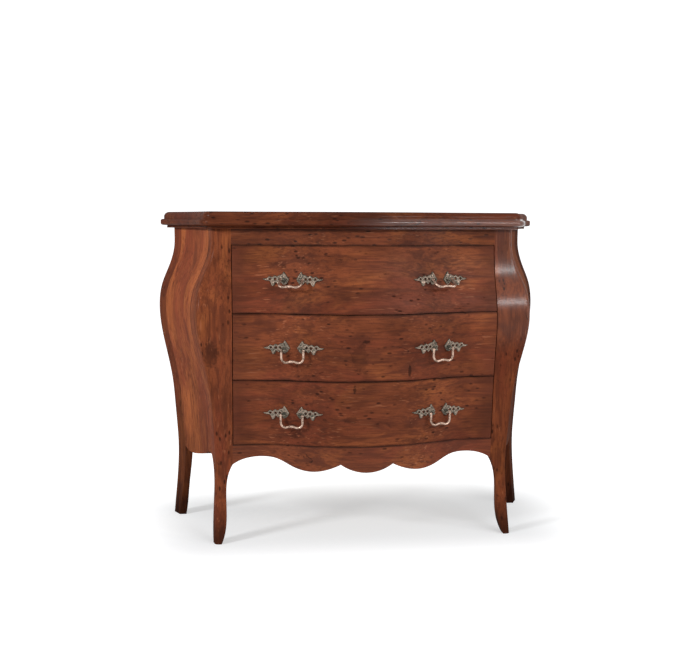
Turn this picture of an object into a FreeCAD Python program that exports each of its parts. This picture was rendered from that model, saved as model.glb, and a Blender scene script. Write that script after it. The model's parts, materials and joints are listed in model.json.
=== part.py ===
import FreeCAD, Part
import math
import os
from FreeCAD import Vector as V

# Bombe chest of three drawers: serpentine front, swelling (bombe) front and sides, splayed sides,
# sabre legs, scalloped apron, moulded top and six bail pulls on pierced backplates.
# Millimetres, +Z up, front towards -Y, left is -X. The shapes are drawn from the line between
# the two front feet (Y = 0) and moved at export, so that the origin is the middle of the footprint.

# ---------------------------------------------------------------- driving dimensions
leg_room = 257.0            # floor to the bottom edge of the lowest drawer front
drawer_pitch = 174.0        # height taken by one drawer
top_rail_height = 48.0      # top drawer to the underside of the top board
top_board_thick = 37.0
opening_half = 348.0        # half the width between the front posts
back_plane = 310.0          # front-foot line to the back of the carcass
back_overhang = 4.0         # the top board past the back

bow_depth = 65.0            # how far the middle of the serpentine front stands forward
bow_run_out = 12.0          # how far the bow runs past the drawer opening on each side
side_flare = 109.5          # how much further out a side stands at the back than at the front
side_start_angle = 11.0     # degrees between a side and the Y axis at the front

# Stations of the swelling outlines as (level, offset). Level 0 is the floor, 1 the bottom of the
# drawer bank, 2 its top and 3 the underside of the top board.
front_stations = [(0, -14), (0.37, 12), (0.76, 24), (1.06, 12), (1.30, 0.5), (1.50, -17),
                  (1.62, -23.5), (1.74, -12), (1.86, 11), (1.96, 20), (3, 20.6)]
side_stations = [(0, 50.5), (0.37, 42.5), (0.78, 38.5), (1.08, 45.5), (1.27, 56), (1.466, 79),
                 (1.648, 93), (1.782, 82.5), (1.877, 60.5), (1.964, 45), (3, 42.5)]
# Share of the side flare that a side has at each of these levels
flare_stations = [(0, 1.02), (1.1, 0.995), (1.3, 0.98), (1.648, 0.93), (1.877, 0.975), (1.964, 1), (3, 1)]

post_back = 64.0            # back face of the front posts
ridge_round = 12.0           # rounding of the corner between front and side
rear_post_depth = 42.0
rear_post_neck = 44.5       # width of a rear post at its top
side_thick = 20.0
front_thick = 22.0          # drawer fronts, apron and top rail
top_rail_thick = 24.0

# Feet: inner and back edges of the sabre legs, measured in from the outer profile
foot_width = 19.5
foot_depth = 22.0
ankle_width = 25.5
ankle_depth = 24.5
knee_depth = 33.0
knee_inset = 8.5            # the inner edge at the knee, past the edge of the post
knee_drop = 18.0            # the knee below the apron's end
knee_back_rise = 12.0       # the knee of the back edge above that of the front
rear_foot_width = 32.0
rear_foot_depth = 31.0

# Apron, half of its lower edge from the leg to the cusp, as (share of the half opening, depth below
# the drawer bank)
apron_edge = [(0.977, 48.5), (0.897, 37), (0.782, 32), (0.667, 37.5), (0.549, 58.5), (0.411, 69.5),
              (0.299, 63), (0.198, 48.3)]
apron_leg_drop = 54.0       # where the apron meets the leg
apron_middle_drop = 70.5    # bottom of the middle lobe

# Lower edge of a side panel as (share of the way from front to rear post, depth below the drawer bank)
side_edge = [(0.078, 31), (0.265, 42), (0.53, 56), (0.794, 64), (0.922, 61)]
side_edge_front_drop = 35.0
side_edge_back_drop = 54.0

# Drawer carcass frames
frame_thick = 18.0
frame_front_gap = 1.0       # behind the drawer fronts
frame_rail_back = 100.0
back_rail_thick = 20.0
back_panel_thick = 6.0
back_panel_inset = 6.0
back_panel_drop = 22.0      # how far the back panel hangs below the drawer bank
runner_width = 57.0
guide_past_opening = 14.0   # outer face of a guide beyond the edge of the opening
guide_height = 22.0
dust_thick = 4.0

# Drawers
drawer_gap = 2.0            # beside a drawer front, and between it and the next
box_side_gap = 1.5          # between a drawer side and its guide
box_under_gap = 0.4         # between a drawer side and its runner
box_over_gap = 10.0         # between a drawer side and the frame above
box_wall = 12.0
box_bottom_thick = 6.0
box_bottom_up = 8.0         # bottom board above the lower edge of the sides
groove_depth = 6.0
front_lap = 8.0             # how far the sides are let into the front
stop_gap = 0.5
stop_size = (40.0, 12.0, 20.0)
stop_inset = 78.0           # middle of a stop, in from the edge of the opening

# Top edge as offsets from the neck of the carcass
ovolo_start = 10.0
ovolo_radius = 13.0
edge_step = 2.0
nose_radius = 8.5
nose_lift = 0.5             # the nose above the underside of the board
board_under = 22.0
moulding_height = 7.0
moulding_reach = 18.0
bead_radius = 2.2
spine_corner = 6.0          # corner radius on the neck line
edge_clear = 6.0            # material taken off beyond the faces of the board when its edge is shaped
cutter_reach = 70.0

# Pulls
handle_x = 193.0
handle_drop = 4.0           # below the middle of the drawer
post_spacing = 42.0
shank_radius = 2.4
shank_gap = 0.1
collar_radius = 5.5
collar_thick = 2.0
neck_radius = 2.8
eye_radius = 3.7
eye_out = 11.0              # pivot in front of the drawer front
pin_radius = 1.52
pin_gap = 0.08
plate_thick = 2.5
pad_rise = 0.7              # flat round pad under a collar
pad_margin = 0.8
seat_gap = 0.1
nut_side = 10.0
nut_thick = 3.0
nut_seat = 0.1
nut_room = 0.3              # round a nut in its seat
shank_past_nut = 3.0

bail_half = 29.0
bail_drop = 31.0            # pivot to the lowest point of the rod's centre line
bail_rod = 3.1
bail_corner = 13.0
bail_bar_rise = 20.0        # degrees by which the bar arches up towards its middle
bail_boss = 3.5
bail_rest_gap = 1.5         # between the rod and a drawer front that it leans on
bail_poses = [0.0, 0.0, 56.0]   # degrees by which the bails of a drawer are left standing out
knop_radius = 4.0
bead_spacing = 5.0

# Backplate outline, outer half of a pull, as (along the drawer, up) from the middle of the bail axis
plate_outline = [(10, 6), (14, 12), (18.5, 19), (23.5, 25), (27.5, 18), (34, 16.5), (41, 12.5), (48, 15),
                 (54, 10.5), (61, 13), (68, 8), (80, 5.5), (71, 0.5), (64, 0), (59, -5), (54.5, -14),
                 (49, -11), (45, -4), (38.5, -8.6), (33, -3), (26, -10), (17, -8), (12, -1)]
plate_holes = [(34.5, 5, 2.2), (46, 4.5, 2.6), (60, 5, 2.2)]

screw_radius = 2.0
screw_head = 3.0
screw_bite = 18.0           # into the top board
block_leg = 44.0
block_height = 28.0

# ---------------------------------------------------------------- derived sizes
drawer_names = ["bottom_drawer", "middle_drawer", "top_drawer"]
bank_height = drawer_pitch * len(drawer_names)
carcass_top = leg_room + bank_height + top_rail_height
height = carcass_top + top_board_thick
bow_half = opening_half + bow_run_out
rear_post_inner = opening_half + side_flare + side_stations[-1][1] - rear_post_neck
guide_outer = opening_half + guide_past_opening
runner_inner = guide_outer - runner_width
stop_x = opening_half - stop_inset
rear_post_front = back_plane - rear_post_depth
back_rail_back = back_plane - back_panel_inset - back_panel_thick
back_rail_front = back_rail_back - back_rail_thick
cove_radius = moulding_height - 2 * bead_radius
neck_y = front_stations[-1][1]
neck_x = opening_half + side_stations[-1][1]
belly_y = min(offset for level, offset in front_stations) - bow_depth
top_front_y = neck_y - bow_depth - ovolo_start - ovolo_radius - edge_step - nose_radius
middle_y = (min(belly_y, top_front_y) + back_plane + back_overhang) / 2

far = 1500.0                # longer than anything here, for cutting blocks
plan_reach = 620.0          # half width of the front surface
side_y_range = (-200.0, back_plane + 60.0)


def level_z(level):
    """Height of a level of the outlines: floor, drawer bank bottom, bank top, carcass top."""
    heights = [0.0, leg_room, leg_room + bank_height, carcass_top]
    floor = min(int(level), 2)
    return heights[floor] + (level - floor) * (heights[floor + 1] - heights[floor])


def smooth(points, start=None, end=None, closed=False):
    """A smooth curve through the points, with optional end directions."""
    curve = Part.BSplineCurve()
    if closed:
        curve.interpolate(Points=points, PeriodicFlag=True)
    elif start is not None and end is not None:
        curve.interpolate(Points=points, InitialTangent=start, FinalTangent=end)
    else:
        curve.interpolate(Points=points)
    return curve


def profile_curve(stations):
    """The swelling outline as (offset, 0, z), upright at the neck."""
    points = [V(offset, 0, level_z(level)) for level, offset in stations]
    return smooth(points, points[1] - points[0], V(0, 0, 1))


def offset_at(profile, z):
    """Parameter and offset of a swelling outline at height z."""
    low, high = profile.FirstParameter, profile.LastParameter
    for _ in range(50):
        middle = (low + high) / 2
        if profile.value(middle).z < z:
            low = middle
        else:
            high = middle
    return middle, profile.value(middle).x


def greville(knots, degree):
    """Pole stations that make a spline run evenly along its first axis."""
    full = [knots[0]] * degree + knots + [knots[-1]] * degree
    return [sum(full[i + 1:i + 1 + degree]) / degree for i in range(len(full) - degree - 1)]


def clamped(knots, degree):
    return [degree + 1] + [1] * (len(knots) - 2) + [degree + 1]


def bow_plan(reach):
    """Knots and (x, forward) poles of the serpentine, flat beyond the bow."""
    step = bow_half / 3
    knots = [-reach] + [i * step for i in range(-3, 4)] + [reach]
    crown, shoulder = 1.071, 0.857
    poles = []
    for x in greville(knots, 3):
        share = crown if abs(x) < step / 2 else shoulder if abs(x) < 1.5 * step else 0.0
        poles.append((x, share * bow_depth))
    return knots, poles


def bow_curve(reach, forward_of, z):
    """The serpentine as an edge curve, forward_of being its flat part's Y."""
    knots, poles = bow_plan(reach)
    curve = Part.BSplineCurve()
    curve.buildFromPolesMultsKnots([V(x, forward_of - forward, z) for x, forward in poles],
                                   clamped(knots, 3), knots, False, 3)
    return curve


side_slope = math.tan(math.radians(side_start_angle))
side_bend = (side_flare - side_slope * back_plane) / back_plane ** 2


def flare_at(y):
    """How far out a side stands at depth y, beyond its front outline."""
    return side_slope * y + side_bend * y * y


def flare_share(z):
    """Share of the side flare at height z."""
    marks = [(level_z(level), share) for level, share in flare_stations]
    for (z0, share0), (z1, share1) in zip(marks, marks[1:]):
        if z <= z1:
            return share0 + (share1 - share0) * max(z - z0, 0) / (z1 - z0)
    return marks[-1][1]


def flare_poles(y_from, y_to):
    """Three (flare, y) poles of the parabola between two depths."""
    half = (y_to - y_from) / 2
    slope = side_slope + 2 * side_bend * y_from
    middle = flare_at(y_from) + slope * half
    return [(flare_at(y_from), y_from), (middle, y_from + half), (flare_at(y_to), y_to)]


def swept_surface(profile, plan_poles, plan_knots, degree, place):
    """Tensor surface in which every row of poles is the profile moved to one plan pole."""
    net = [[place(plan, pole) for pole in profile.getPoles()] for plan in plan_poles]
    surface = Part.BSplineSurface()
    surface.buildFromPolesMultsKnots(net, clamped(plan_knots, degree), profile.getMultiplicities(),
                                     plan_knots, profile.getKnots(), False, False, degree, profile.Degree)
    return surface


front_profile = profile_curve(front_stations)
serpentine = bow_curve(plan_reach, 0, 0)
side_profile = profile_curve([(level, opening_half + offset) for level, offset in side_stations])
bow_knots, bow_poles = bow_plan(plan_reach)
front_surface = swept_surface(front_profile, bow_poles, bow_knots, 3,
                              lambda plan, pole: V(plan[0], pole.x - plan[1], pole.z))
side_surfaces = {}
for side in (-1, 1):
    side_surfaces[side] = swept_surface(side_profile, flare_poles(*side_y_range), list(side_y_range), 2,
                                        lambda plan, pole: V(side * (pole.x + plan[0] * flare_share(pole.z)),
                                                             plan[1], pole.z))


# ---------------------------------------------------------------- building blocks
def block(x0, x1, y0, y1, z0, z1):
    return Part.makeBox(x1 - x0, y1 - y0, z1 - z0, V(x0, y0, z0))


def mirrored_block(side, x0, x1, y0, y1, z0, z1):
    low, high = sorted((side * x0, side * x1))
    return block(low, high, y0, y1, z0, z1)


def front_layer(depth, thickness):
    """Layer of the front form that starts at a depth behind its face."""
    face = front_surface.toShape()
    face.translate(V(0, depth, 0))
    return face.extrude(V(0, thickness, 0))


def behind_front(depth):
    return front_layer(depth, far)


def side_layer(side, depth, thickness):
    face = side_surfaces[side].toShape()
    face.translate(V(-side * depth, 0, 0))
    return face.extrude(V(-side * thickness, 0, 0))


def inside_side(side, depth):
    return side_layer(side, depth, far)


def prism(edges, direction):
    return Part.Face(Part.Wire(edges)).extrude(direction)


def lines(*points):
    return [Part.makeLine(a, b) for a, b in zip(points, points[1:])]


def polygon_prism(points, direction):
    return prism(lines(*points, points[0]), direction)


def xz(x, z, y=-far / 2):
    return V(x, y, z)


def yz(y, z, x=-far / 2):
    return V(x, y, z)


def single(shape):
    """The one solid of a boolean result."""
    solids = shape.Solids
    if len(solids) != 1:
        raise ValueError("expected one solid, got %d" % len(solids))
    return solids[0]


def export(name, *solids):
    """Writes one node, moved so that Y = 0 is the middle of the footprint."""
    shape = solids[0] if len(solids) == 1 else Part.makeCompound(list(solids))
    moved = shape.copy()
    moved.translate(V(0, -middle_y, 0))
    if not moved.isValid():
        raise ValueError(name + " is not valid")
    moved.exportStep("parts/" + name + ".step")


# ---------------------------------------------------------------- carcass outside
def leg_inner_edge():
    """Inner edge of a front leg in the XZ plane, from the apron to the floor."""
    foot_x = opening_half + side_stations[0][1] - foot_width
    ankle_z = level_z(side_stations[1][0])
    ankle_x = opening_half + side_stations[1][1] - ankle_width
    top = xz(opening_half, leg_room - apron_leg_drop)
    knee = xz(opening_half + knee_inset, leg_room - apron_leg_drop - knee_drop)
    return smooth([top, knee, xz(ankle_x, ankle_z), xz(foot_x, 0)]).toShape()


def front_leg(side):
    """Corner post and sabre leg in one piece."""
    inner = leg_inner_edge()
    top, foot = inner.Vertexes[0].Point, inner.Vertexes[-1].Point
    outline = [inner] + lines(foot, xz(far, 0), xz(far, carcass_top), xz(opening_half, carcass_top), top)
    seen_from_front = prism(outline, V(0, far, 0))
    if side < 0:
        seen_from_front = seen_from_front.mirror(V(0, 0, 0), V(1, 0, 0))
    ankle_z = level_z(front_stations[1][0])
    shoulder = yz(post_back, leg_room - side_edge_front_drop)
    knee_z = level_z(front_stations[2][0])
    back_edge = smooth([shoulder, yz(front_stations[2][1] + knee_depth, knee_z + knee_back_rise),
                        yz(front_stations[1][1] + ankle_depth, ankle_z),
                        yz(front_stations[0][1] + foot_depth, 0)]).toShape()
    heel = yz(front_stations[0][1] + foot_depth, 0)
    outline = [back_edge] + lines(heel, yz(-far, 0), yz(-far, carcass_top), yz(post_back, carcass_top), shoulder)
    seen_from_side = prism(outline, V(far, 0, 0))
    leg = single(seen_from_front.common(seen_from_side).common(behind_front(0)).common(inside_side(side, 0)))
    ridge = max(leg.Edges, key=lambda edge: (abs(edge.CenterOfMass.x) - edge.CenterOfMass.y)
                * (edge.BoundBox.ZLength > carcass_top / 2))
    return leg.makeFillet(ridge_round, [ridge])


def rear_leg(side):
    ankle_z = level_z(side_stations[1][0])
    outer = opening_half + side_flare
    knee = xz(rear_post_inner, leg_room - side_edge_back_drop)
    foot_x = outer + side_stations[0][1] - rear_foot_width
    inner = smooth([knee, xz(outer + side_stations[1][1] - rear_foot_width - 3, ankle_z), xz(foot_x, 0)],
                   V(0, 0, -1), V(0.2, 0, -1)).toShape()
    outline = [inner] + lines(xz(foot_x, 0), xz(far, 0), xz(far, carcass_top),
                              xz(rear_post_inner, carcass_top), knee)
    seen_from_front = prism(outline, V(0, far, 0))
    if side < 0:
        seen_from_front = seen_from_front.mirror(V(0, 0, 0), V(1, 0, 0))
    knee = yz(rear_post_front, leg_room - side_edge_back_drop)
    toe = yz(back_plane - rear_foot_depth, 0)
    front_edge = smooth([knee, toe], V(0, 0, -1), V(0, 0.08, -1)).toShape()
    outline = [front_edge] + lines(toe, yz(back_plane, 0), yz(back_plane, carcass_top),
                                   yz(rear_post_front, carcass_top), knee)
    seen_from_side = prism(outline, V(far, 0, 0))
    return single(seen_from_front.common(seen_from_side).common(inside_side(side, 0)))


def side_panel(side):
    edge = [(0, side_edge_front_drop)] + side_edge + [(1, side_edge_back_drop)]
    points = [yz(post_back + share * (rear_post_front - post_back), leg_room - drop) for share, drop in edge]
    outline = [smooth(points).toShape()] + lines(points[-1], yz(rear_post_front, carcass_top),
                                                 yz(post_back, carcass_top), points[0])
    return single(side_layer(side, 0, side_thick).common(prism(outline, V(far, 0, 0))))


def top_rail():
    z0 = leg_room + bank_height
    return single(front_layer(0, top_rail_thick).common(
        block(-opening_half, opening_half, -far, far, z0, carcass_top)))


def front_apron():
    half = [(1, apron_leg_drop)] + apron_edge
    right = [xz(share * opening_half, leg_room - drop) for share, drop in half]
    left = [xz(-share * opening_half, leg_room - drop) for share, drop in half]
    middle = Part.Arc(right[-1], xz(0, leg_room - apron_middle_drop), left[-1]).toShape()
    outline = [smooth(right).toShape(), middle, smooth(left[::-1]).toShape()]
    outline += lines(left[0], xz(-opening_half, leg_room), xz(opening_half, leg_room), right[0])
    return single(front_layer(0, front_thick).common(prism(outline, V(0, far, 0))))


def back_panel():
    y0 = back_rail_back
    return block(-rear_post_inner, rear_post_inner, y0, y0 + back_panel_thick,
                 leg_room - back_panel_drop, carcass_top)


# ---------------------------------------------------------------- top
def neck_outline():
    """Edges along the neck of the carcass, from the back left round the front to the back right."""
    turn = neck_y
    for _ in range(20):
        slope = side_slope + 2 * side_bend * turn
        turn = neck_y + spine_corner * (1 - slope / math.hypot(1, slope))
    norm = math.hypot(1, slope)
    centre_x = neck_x + flare_at(turn) - spine_corner / norm
    run_out = back_plane + 2 * back_overhang + 20
    front = bow_curve(plan_reach, neck_y, 0)
    front.segment(-centre_x, centre_x)

    def side_edge_curve(side):
        curve = Part.BSplineCurve()
        plan = flare_poles(turn, run_out)
        curve.buildFromPolesMultsKnots([V(side * (neck_x + out), y, 0) for out, y in plan],
                                       [3, 3], [turn, run_out], False, 2)
        return curve

    def corner(side):
        lean = math.atan(slope)
        angle = (lean - math.pi / 2) / 2
        start = front.EndPoint if side > 0 else front.StartPoint
        middle = V(side * (centre_x + spine_corner * math.cos(angle)),
                   neck_y + spine_corner + spine_corner * math.sin(angle), 0)
        end = V(side * (neck_x + flare_at(turn)), turn, 0)
        return Part.Arc(start, middle, end) if side > 0 else Part.Arc(end, middle, start)

    left = side_edge_curve(-1)
    left.reverse()
    parts = [left, corner(-1), front, corner(1), side_edge_curve(1)]
    return [part.toShape() for part in parts], run_out


def swept_round_neck(outline):
    """Sweeps an outline, given as edges in (outwards, z), round the neck of the carcass."""
    edges, run_out = neck_outline()
    start = edges[0].Vertexes[0].Point
    direction = edges[0].tangentAt(edges[0].FirstParameter)
    outwards = direction.cross(V(0, 0, 1)).normalize()
    section = Part.Wire(outline)
    place = FreeCAD.Placement(start, FreeCAD.Rotation(outwards, V(0, 0, 0), V(0, 0, 1), "XZY"))
    section.Placement = place
    shell = Part.BRepOffsetAPI.MakePipeShell(Part.Wire(edges))
    shell.setBiNormalMode(V(0, 0, 1))
    shell.add(section)
    shell.build()
    shell.makeSolid()
    return shell.shape()


def oversize_plate(outset, z0, z1):
    """Flat plate a little larger than the neck outline."""
    y_back = back_plane + back_overhang
    front = bow_curve(plan_reach, neck_y - outset, z0)
    ahead = prism([front.toShape()] + lines(V(plan_reach, neck_y - outset, z0), V(plan_reach, y_back, z0),
                                            V(-plan_reach, y_back, z0), V(-plan_reach, neck_y - outset, z0)),
                  V(0, 0, z1 - z0))
    plan = flare_poles(neck_y - 2 * outset - bow_depth, y_back)
    edge_curves = []
    for side in (1, -1):
        curve = Part.BSplineCurve()
        curve.buildFromPolesMultsKnots([V(side * (neck_x + outset + out), y, z0) for out, y in plan],
                                       [3, 3], [0, 1], False, 2)
        edge_curves.append(curve)
    right, left = edge_curves
    left.reverse()
    outline = [right.toShape()] + lines(right.EndPoint, left.StartPoint) + [left.toShape()]
    outline += lines(left.EndPoint, right.StartPoint)
    return single(ahead.common(prism(outline, V(0, 0, z1 - z0))))


def arc(start, middle, end):
    return Part.Arc(V(start[0], 0, start[1]), V(middle[0], 0, middle[1]), V(end[0], 0, end[1])).toShape()


def path(*points):
    return lines(*[V(x, 0, z) for x, z in points])


def top_panel():
    diagonal = math.sqrt(0.5)
    ovolo_end = (ovolo_start + ovolo_radius, height - ovolo_radius)
    ovolo_middle = (ovolo_start + ovolo_radius * diagonal, height - ovolo_radius * (1 - diagonal))
    nose_x = ovolo_end[0] + edge_step
    nose_z = carcass_top + nose_lift + nose_radius
    nose_top, nose_bottom = (nose_x, nose_z + nose_radius), (nose_x, nose_z - nose_radius)
    outline = path((ovolo_start, height + edge_clear), (ovolo_start, height))
    outline.append(arc((ovolo_start, height), ovolo_middle, ovolo_end))
    outline += path(ovolo_end, (ovolo_end[0], nose_top[1]), nose_top)
    outline.append(arc(nose_top, (nose_x + nose_radius, nose_z), nose_bottom))
    outline += path(nose_bottom, (board_under, carcass_top), (board_under, carcass_top - edge_clear),
                    (cutter_reach, carcass_top - edge_clear), (cutter_reach, height + edge_clear),
                    (ovolo_start, height + edge_clear))
    plate = oversize_plate(nose_x + nose_radius + 2, carcass_top, height)
    return single(plate.cut(swept_round_neck(outline)))


def top_moulding():
    """Cove and bead under the top board: one ring, mitred into a front length and two sides."""
    z0 = carcass_top - moulding_height
    diagonal = math.sqrt(0.5)
    cove_start = (moulding_reach, carcass_top)
    cove_middle = (moulding_reach - cove_radius * diagonal, carcass_top - cove_radius * (1 - diagonal))
    cove_end = (moulding_reach - cove_radius, carcass_top - cove_radius)
    bead_x = cove_end[0] - edge_step / 2
    bead_top, bead_bottom = (bead_x, z0 + 2 * bead_radius), (bead_x, z0)
    tuck = spine_corner - 2
    outline = path((-tuck, carcass_top), cove_start)
    outline.append(arc(cove_start, cove_middle, cove_end))
    outline += path(cove_end, bead_top)
    outline.append(arc(bead_top, (bead_x + bead_radius, z0 + bead_radius), bead_bottom))
    outline += path(bead_bottom, (-tuck, z0), (-tuck, carcass_top))
    ring = swept_round_neck(outline).common(block(-far, far, -far, back_plane + back_overhang, 0, height))

    lean = math.radians(45) - math.atan(side_slope) / 2
    base = carcass_top - 2 * moulding_height

    def on_mitre(side, out):
        """Point on the mitre line of a corner, a distance out from the neck."""
        x = neck_x + flare_at(neck_y) + out * math.cos(lean)
        return V(side * x, neck_y - out * math.sin(lean), base)

    rise = V(0, 0, 2 * moulding_height + top_board_thick)
    inner, outer = -spine_corner, 2 * cutter_reach
    ahead = polygon_prism([on_mitre(-1, inner), on_mitre(1, inner), on_mitre(1, outer), V(0, -far, base),
                           on_mitre(-1, outer)], rise)
    lengths = [single(ring.cut(behind_front(0)).common(ahead))]
    for side in (-1, 1):
        beside = polygon_prism([on_mitre(side, inner), on_mitre(side, outer), V(side * far, far, base),
                                V(on_mitre(side, inner).x, far, base)], rise)
        lengths.append(single(ring.cut(inside_side(side, 0)).common(beside)))
    return lengths


# ---------------------------------------------------------------- frames between the drawers
def frame_z(level):
    """Middle height of the frame below drawer number level."""
    return leg_room + level * drawer_pitch


def frame_rail(level):
    """Curved rail behind the drawer fronts, notched round the front posts."""
    z0, z1 = frame_z(level) - frame_thick / 2, frame_z(level) + frame_thick / 2
    depth = max(front_thick, top_rail_thick) + frame_front_gap
    shape = block(-opening_half, opening_half, -far, frame_rail_back, z0, z1)
    shape = shape.fuse(block(-guide_outer, guide_outer, post_back, frame_rail_back, z0, z1)).removeSplitter()
    return single(shape.common(behind_front(depth)))


def runner(side, level):
    z0, z1 = frame_z(level) - frame_thick / 2, frame_z(level) + frame_thick / 2
    return mirrored_block(side, runner_inner, guide_outer, frame_rail_back, back_rail_front, z0, z1)


def guide(side, level):
    z0 = frame_z(level) + frame_thick / 2
    inner = opening_half - drawer_gap
    return mirrored_block(side, inner, guide_outer, post_back, back_rail_front, z0, z0 + guide_height)


def back_rail(level):
    z0, z1 = frame_z(level) - frame_thick / 2, frame_z(level) + frame_thick / 2
    if level == len(drawer_names):
        z1 = carcass_top
    return block(-rear_post_inner, rear_post_inner, back_rail_front, back_rail_back, z0, z1)


def dust_panel(level):
    z0 = frame_z(level) - dust_thick / 2
    return block(-runner_inner, runner_inner, frame_rail_back, back_rail_front, z0, z0 + dust_thick)


def drawer_stop(side, level):
    wide, deep, tall = stop_size
    z0 = frame_z(level) + frame_thick / 2
    return mirrored_block(side, stop_x - wide / 2, stop_x + wide / 2, back_rail_front,
                          back_rail_front + deep, z0, z0 + tall)


def corner_blocks():
    """Triangular glue blocks in the top corners, behind the top rail and before the top back rail."""
    z0 = carcass_top - block_height
    solids = []
    for side in (-1, 1):
        ahead = polygon_prism([V(side * opening_half, neck_y, z0), V(side * opening_half, post_back + 10, z0),
                               V(side * (opening_half - block_leg), neck_y, z0)], V(0, 0, block_height))
        solids.append(single(ahead.common(behind_front(top_rail_thick))
                             .common(block(-far, far, -far, post_back, z0, carcass_top))))
        behind = polygon_prism([V(side * rear_post_inner, back_rail_front, z0),
                                V(side * rear_post_inner, back_rail_front - block_leg, z0),
                                V(side * (rear_post_inner - block_leg), back_rail_front, z0)],
                               V(0, 0, block_height))
        solids.append(single(behind.common(inside_side(side, side_thick))))
    return solids


def top_screws(blocks):
    """One screw up through each corner block into the top board, its head let into the block."""
    z0 = carcass_top - block_height
    screws = []
    for piece in blocks:
        centre = piece.CenterOfMass
        start = V(centre.x, centre.y, z0)
        shank = Part.makeCylinder(screw_radius, block_height + screw_bite, start)
        screws.append(single(shank.fuse(Part.makeCylinder(2 * screw_radius, screw_head, start))))
    return screws


# ---------------------------------------------------------------- pulls
def surface_frame(x, z):
    """Point, outward normal and level tangent of the front form at (x, z)."""
    v, _ = offset_at(front_profile, z)
    point = front_surface.value(x, v)
    normal = front_surface.normal(x, v)
    if normal.y > 0:
        normal = normal * -1
    along = V(0, 0, 1).cross(normal).normalize() * -1
    if along.x < 0:
        along = along * -1
    return point, normal, along


def face_y(x, z):
    """Y of the front form at (x, z)."""
    return offset_at(front_profile, z)[1] + serpentine.value(x).y


def rod(radius, start, end):
    return Part.makeCylinder(radius, (end - start).Length, start, end - start)


def ball(radius, centre):
    """Sphere whose seam faces the back, clear of what joins it."""
    shape = Part.makeSphere(radius, centre)
    shape.rotate(centre, V(0, 0, 1), 90)
    return shape


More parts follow.
